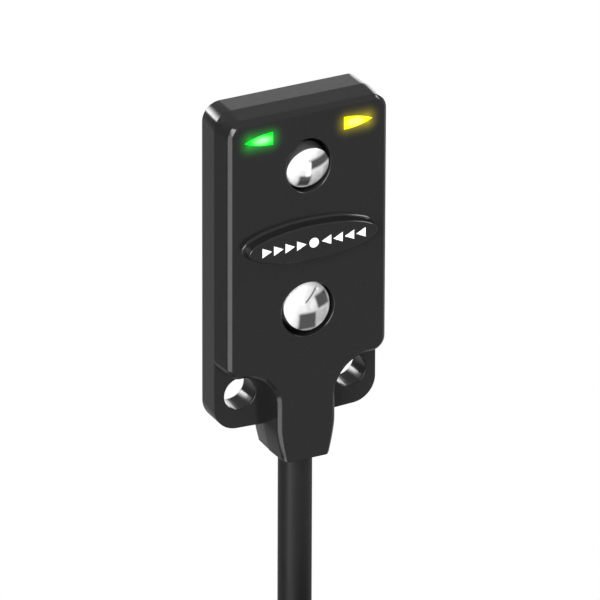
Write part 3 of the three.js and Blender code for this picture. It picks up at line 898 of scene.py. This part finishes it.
def add_free_cores():
    """Three insulated conductors, which also give the three wires inside their colours."""
    strands = strand_material()
    cores = (
        ("brown", (-1.2, -0.6), (0.10, 0.035, 0.012, 1.0), (0.13, 0.045, 0.016, 1.0)),
        ("black", (0, -1.4), grey(0.012), grey(0.02)),
        ("blue", (1.6, 0.2), (0.012, 0.075, 0.36, 1.0), (0.018, 0.095, 0.42, 1.0)),
    )
    for colour, spread, dark, light in cores:
        insulation = moulded(f"{colour}_insulation", dark, light, 0.38, 0.08).material
        core, path = free_core(colour, spread, insulation, strands)
        piece(core, f"{colour}_insulation", f"lead_{colour}")
        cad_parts[f"wire_{colour}"].data.materials[0] = insulation


def add_cable():
    """The jacket with its coil and ties, and the three conductors of its free end."""
    cable = curve_object("cable", cable_route(), CABLE / 2, jacket_material())
    nylon = tie_material()
    coil_outer = COIL_INNER_TURN + (COIL_LAYERS - 0.5) * CABLE
    ties = [
        piece(strap("cable_tie_1", 60, TAIL_RADIUS + CABLE / 2, nylon), "tie", "coil_tie_1"),
        piece(strap("cable_tie_2", 235, coil_outer, nylon), "tie", "coil_tie_2"),
    ]
    piece(cable, "jacket", "cable_lead", "cable_coil", "cable_tail")
    add_free_cores()


# ---------------------------------------------------------------- housing

def crown():
    """The body's side view as a long bar: a square lower end, and a top that rolls into the face."""
    run = DEPTH - CROWN_RUN - PLATE_DEPTH
    roll = (DEPTH - 0.02, TOP - CROWN_FALL * (1 + CROWN_RUN / run))
    straight_top = TOP - 2 * CROWN_DROP
    side = [(PLATE_DEPTH - 0.2, NECK_BOTTOM), (DEPTH + 0.2, NECK_BOTTOM)]
    side += [(DEPTH + 0.2, straight_top), (DEPTH + 0.001, straight_top)]
    side += bent((DEPTH, TOP - CROWN_DROP), roll, (DEPTH - CROWN_RUN, TOP - CROWN_FALL), 16)
    side += [(PLATE_DEPTH, TOP), (PLATE_DEPTH - 0.2, TOP)]
    shape = bmesh.new()
    add_rings(shape, [[(x, -depth, z) for depth, z in side] for x in (-WIDTH, WIDTH)])
    return finished("crown", shape)


def raised_body():
    """The raised front: drafted and chamfered at its sides, and rolled over into the face at its top."""
    slope = DRAFT / (DEPTH - PLATE_DEPTH)
    crest_depth = (DEPTH - EDGE_INSET - slope * PLATE_DEPTH) / (1 - slope)
    crest_inset = slope * (crest_depth - PLATE_DEPTH)
    section = [
        (0, PLATE_DEPTH - 0.1), (0, PLATE_DEPTH), (crest_inset, crest_depth), (EDGE_INSET, DEPTH),
        (EDGE_INSET + 0.35, DEPTH),
    ]
    body = layered("body", body_outline, eased(section, 0.05))
    return combined("body", body, "INTERSECT", [crown()])


def oval_pad():
    """The raised oval between the lenses: a hollow fillet at its foot and an eased edge on top."""
    top = DEPTH + PAD_RISE
    foot = bent((-PAD_FILLET, DEPTH - 0.01), (-0.02, DEPTH), (0, DEPTH + PAD_FILLET), 6)
    edge = bent((0.05, top - PAD_EDGE), (0.06, top), (0.06 + PAD_EDGE, top), 6)
    section = [(-PAD_FILLET, DEPTH - 0.2), *foot, *edge]
    return stacked("pad", ellipse(PAD_HALF_LENGTH - 0.05, PAD_HALF_HEIGHT - 0.05), section)


def hole(name, x, z, radius, ease, back, front, width=1.0):
    """A cutter for a hole whose rim is eased where it meets the front, and the back if it is open.

    A width below 1 makes it narrower than it is high.
    """
    wide = radius + ease
    rim = bent((radius, front - ease), (radius, front), (wide, front + 0.001), 5)
    rim += [(wide, front + 0.3)]
    if back is None:
        section = [(radius, PLATE_DEPTH - 0.5), *rim]
    else:
        behind = bent((wide, back - 0.001), (radius, back), (radius, back + ease), 5)
        section = [(wide, back - 0.3), *behind, *rim]
    made = turned(name, section)
    place = Matrix.Translation(Vector((x, 0, z)) * MM)
    made.data.transform(place @ Matrix.Diagonal((width, 1, 1, 1)))
    return made


def back_openings():
    """What is taken out from behind: the cover's recess, the hollow, the channel and the cable's bore."""
    hollow = rounded_outline(CAVITY_HALF, CAVITY_BOTTOM, CAVITY_TOP, 0.8)
    groove = rounded_outline(CHANNEL_HALF, CHANNEL_BOTTOM, CAVITY_BOTTOM + 0.4, 0.05)
    bore = turned("bore", [
        (BORE_RADIUS, -CHANNEL_BOTTOM - 0.5), (BORE_RADIUS, -NECK_BOTTOM - 0.12),
        (BORE_RADIUS + 0.12, -NECK_BOTTOM), (BORE_RADIUS + 0.2, -NECK_BOTTOM + 0.4),
    ])
    upright = Matrix.Rotation(math.pi / 2, 4, "X")
    bore.data.transform(Matrix.Translation((0, CABLE_Y * MM, 0)) @ upright)
    return [
        stacked("recess", cover_outline(COVER_GAP), [(0, -1), (0, COVER_DEPTH + COVER_GAP)]),
        stacked("cavity", hollow, [(0, 0.2), (0, DEPTH - WALL)]),
        stacked("channel", groove, [(0, 0.21), (0, CHANNEL_FRONT)]),
        bore,
    ]


def front_openings(side):
    """What is taken out from the front on one side: a lens hole, a screw hole and a window's slot."""
    lens_z = OPTICS_CENTRE + side * LENS_SPACING / 2
    screw_x = side * HOLE_SPACING / 2
    slot = [(0, DEPTH - WALL - 0.2), (0, DEPTH + 0.5)]
    return [
        hole("lens_hole", 0, lens_z, LENS_HOLE_RADIUS, LENS_HOLE_EASE, None, DEPTH, HOLE_WIDTHS[side]),
        hole("screw_hole", screw_x, 0, HOLE_RADIUS, SCREW_HOLE_EASE, 0, PLATE_DEPTH),
        stacked("slot", window_outline(side, WINDOW_GAP), slot),
    ]


def add_housing():
    """The front housing as one moulding, and the cover at its back."""
    edge = 0.07
    plate_section = eased([(0.5, 0), (0, 0), (0, PLATE_DEPTH), (0.5, PLATE_DEPTH)], edge)
    plate = stacked("plate", plate_outline(), plate_section)
    rear_section = eased([
        (NECK_REAR_DRAFT + 0.4, 0), (NECK_REAR_DRAFT, 0), (0, PLATE_DEPTH), (0, PLATE_DEPTH + 0.1),
    ], edge)
    rear = layered("rear", neck_outline, rear_section)
    body = combined("body", raised_body(), "UNION", [plate, rear, oval_pad()])
    cuts = back_openings() + front_openings(-1) + front_openings(1)
    housing = painted(combined("housing", body, "DIFFERENCE", cuts), housing_material())
    piece(shaded(housing), "housing", "front_housing")

    cover_section = eased([(0.4, 0), (0, 0), (0, COVER_DEPTH), (0.4, COVER_DEPTH)], 0.06)
    cover = stacked("cover", cover_outline(0), cover_section)
    black = moulded("black_cover", grey(0.010), grey(0.014), 0.22).material
    piece(shaded(painted(cover, black)), "housing", "back_cover")


def add_print():
    """A small white pictogram on the pad: arrows from both sides meeting at a dot."""
    length, half = 0.72, 0.36
    outlines = [arc((0, OPTICS_CENTRE), half, 0, 360, 48)[:-1]]
    for start in (-3.95, -3.07, -2.19, -1.31):
        arrow = [(start, -half), (start + length, 0), (start, half)]
        outlines.append([(x, OPTICS_CENTRE + z) for x, z in arrow])
        outlines.append([(-x, OPTICS_CENTRE + z) for x, z in reversed(arrow)])
    top = DEPTH + PAD_RISE
    shape = bmesh.new()
    for outline in outlines:
        add_rings(shape, [[(x, -depth, z) for x, z in outline] for depth in (top - 0.02, top + 0.01)])
    made = painted(finished("print", shape), ink_material())
    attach(made, "root")


# ---------------------------------------------------------------- optics, indicators and electronics

def add_lens(name, node, patches, side, radius, rim_depth, shift):
    """A domed lens on its skirt, turned towards the point that both lenses look at."""
    sphere = (radius ** 2 + LENS_RISE ** 2) / (2 * LENS_RISE)
    spread = math.asin(radius / sphere)
    shape = bmesh.new()
    rings = [(radius, LENS_BACK - rim_depth), (radius, -0.02)]
    for i in range(1, 18):
        angle = spread * (1 - i / 18)
        rings.append((sphere * math.sin(angle), sphere * math.cos(angle) - sphere + LENS_RISE))
    add_rings(shape, [[(x, -height, z) for x, z in circle(0, 0, ring)] for ring, height in rings])
    made = finished(name, shape)
    middle = OPTICS_CENTRE + side * (LENS_SPACING / 2 - shift)
    place = Matrix.Translation(Vector((0, -rim_depth, middle)) * MM)
    painted(made, lens_material(name, radius, patches))
    made.matrix_world = place @ Matrix.Rotation(side * LENS_TILT, 4, "X")
    piece(shaded(made, math.radians(50)), "lens", node)


def add_window(name, node, side, slot, edge, core):
    """A light pipe that ends just in front of the face, lit in one colour."""
    front = DEPTH + 0.03
    section = eased([(0.2, WINDOW_BACK), (0, WINDOW_BACK), (0, front), (0.15, front)], 0.05)
    made = stacked(name, window_outline(side, 0), section)
    painted(made, window_material(name, side, edge, core))
    piece(shaded(made), slot, node)


def add_optics():
    """Both lenses, with painted reflections and shade in each, and both indicator windows."""
    # The patches of each lens are painted reflections and painted shade.
    add_lens("upper_glass", "upper_lens", [
        ((0.70, 0.72), (0.95, 0.32), 8, 0.04),
        ((-0.42, -0.72), (0.42, 0.52), 0, 0.04),
        ((-0.25, 0.30), (0.18, 0.55), 0, 0.80),
        ((1.30, -0.60), (0.30, 0.80), 0, 0.35),
    ], **UPPER_LENS)
    add_lens("lower_glass", "lower_lens", [
        ((1.00, 0.35), (0.52, 0.48), 12, 0.04),
        ((-0.20, -1.00), (0.66, 0.62), 0, 0.04),
        ((0.20, 0.80), (0.70, 0.06), 40, 0.10),
        ((0.90, -0.80), (0.50, 0.50), 0, 0.35),
    ], **LOWER_LENS)
    green = ((0.0, 0.75, 0.02, 1.0), (0.55, 1.0, 0.60, 1.0))
    yellow = ((0.82, 0.80, 0.0, 1.0), (1.0, 1.0, 0.35, 1.0))
    add_window("power_window", "power_indicator_window", -1, "green_window", *green)
    add_window("output_window", "output_indicator_window", 1, "yellow_window", *yellow)


def dress(nodes, material):
    """Give CAD nodes that stay a material."""
    for name in nodes:
        painted(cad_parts[name], material)


def add_insides():
    """Materials for the pieces inside, whose CAD shapes stay."""
    dress(["optics_carrier"], moulded("carrier", grey(0.010), grey(0.016), 0.5, 0.08).material)
    dress(["circuit_board"], board_material())
    dress(["emitter_led", "power_led_chip", "output_led_chip"], led_material())
    chips = ["photodetector", "controller_chip", "output_transistor"]
    chips += ["voltage_regulator", "protection_diode"]
    chips += [f"resistor_{i}" for i in range(1, 6)]
    dress(chips, chip_material())
    dress([f"capacitor_{i}" for i in range(1, 4)], ceramic_material())
    dress(["crimp_ring"], steel_material())


# ---------------------------------------------------------------- backdrop and light

def add_backdrop():
    """A white floor below the coil and a white dome over it, which are seen but light nothing."""
    shape = bmesh.new()
    bmesh.ops.create_icosphere(shape, subdivisions=5, radius=DOME_RADIUS)
    for vertex in shape.verts:
        vertex.co.z = max(vertex.co.z, FLOOR_Z)
    backdrop = finished("backdrop", shape)
    made = Material("backdrop", Base_Color=grey(0.0), Roughness=1.0, Specular_IOR_Level=0.0)
    made.set(Emission_Color=grey(1.0), Emission_Strength=1.0)
    painted(backdrop, made.material)
    backdrop.visible_diffuse = False
    backdrop.visible_glossy = False
    backdrop.visible_transmission = False
    backdrop.visible_shadow = False


class Sky(Nodes):
    """The light that comes from far away, by the direction it comes from."""

    def __init__(self):
        world = bpy.data.worlds.new("studio")
        bpy.context.scene.world = world
        world.use_nodes = True
        super().__init__(world.node_tree)
        self.tree.nodes.clear()
        self.towards = self.add("ShaderNodeTexCoord").outputs["Generated"]
        self.light = 0.0

    def along(self, direction):
        """How far towards a direction the light comes from, 1 at most."""
        inputs = {0: self.towards, 1: tuple(direction)}
        return self.add("ShaderNodeVectorMath", inputs, operation="DOT_PRODUCT").outputs["Value"]

    def add_light(self, light):
        self.light = self.sum("ADD", self.light, light)

    def add_slope(self, direction, low, high, start, end):
        """Light that changes smoothly from start to end between two heights along a direction."""
        height = self.along(Vector(direction).normalized())
        self.add_light(self.between(height, low, high, start, end, smooth=True))

    def add_panel(self, direction, wide, high, bottom, top, edge=0.06):
        """A soft box: its half width and height, its light from bottom to top and its soft edge."""
        turn = Vector(direction).normalized().to_track_quat("Z", "Y").to_matrix()
        ahead = self.along(turn.col[2])
        front = self.sum("MAXIMUM", ahead, 0.001)
        across = self.sum("DIVIDE", self.along(turn.col[0]), front)
        up = self.sum("DIVIDE", self.along(turn.col[1]), front)
        light = self.between(up, -high, high, bottom, top)
        for offset, half in ((across, wide), (up, high)):
            side = self.sum("ABSOLUTE", offset)
            light = self.sum("MULTIPLY", light, self.between(side, half, half - edge, smooth=True))
        self.add_light(self.sum("MULTIPLY", light, self.sum("GREATER_THAN", ahead, 0.0)))

    def add_patch(self, light, *limits):
        """Light that fades in between the two heights of each limit, which run along its direction."""
        for direction, dark, bright in limits:
            share = self.between(self.along(direction), dark, bright, smooth=True)
            light = self.sum("MULTIPLY", light, share)
        self.add_light(light)

    def finish(self):
        shining = self.add("ShaderNodeBackground", {"Strength": self.light})
        out = self.add("ShaderNodeOutputWorld")
        self.feed(out.inputs[0], shining.outputs[0])


def add_sky():
    """A dim room with soft boxes at the left, behind and at the right."""
    right, behind, up = (1, 0, 0), (0, 1, 0), (0, 0, 1)
    sky = Sky()
    sky.add_slope(right, -0.60, -0.42, 0.14, 0.44)
    sky.add_patch(0.12, (behind, 0.4, 0.0), (up, 0.3, 0.6))
    sky.add_panel((0.40, 0.82, 0.42), 0.10, 0.13, 0.8, 0.7, 0.10)
    sky.add_panel((-0.82, -0.40, -0.42), 0.14, 0.42, 3.4, 4.2, 0.08)
    sky.add_panel((-0.72, -0.62, 0.30), 0.30, 0.46, 8.0, 14.0, 0.10)
    sky.add_patch(16.0, (behind, 0.785, 0.797), (up, 0.17, 0.20), (up, 0.52, 0.24), (right, -0.1, -0.3))
    sky.add_patch(3.6, (behind, 0.69, 0.73), (right, 0.43, 0.48), (up, -0.42, -0.30), (up, 0.38, 0.28))
    sky.add_panel((0.80, -0.20, 0.55), 0.24, 0.24, 10.0, 10.0, 0.1)
    sky.finish()


bpy.context.scene.view_settings.view_transform = "Standard"
add_camera()
add_cable()
add_housing()
add_print()
add_optics()
add_insides()
add_backdrop()
add_sky()
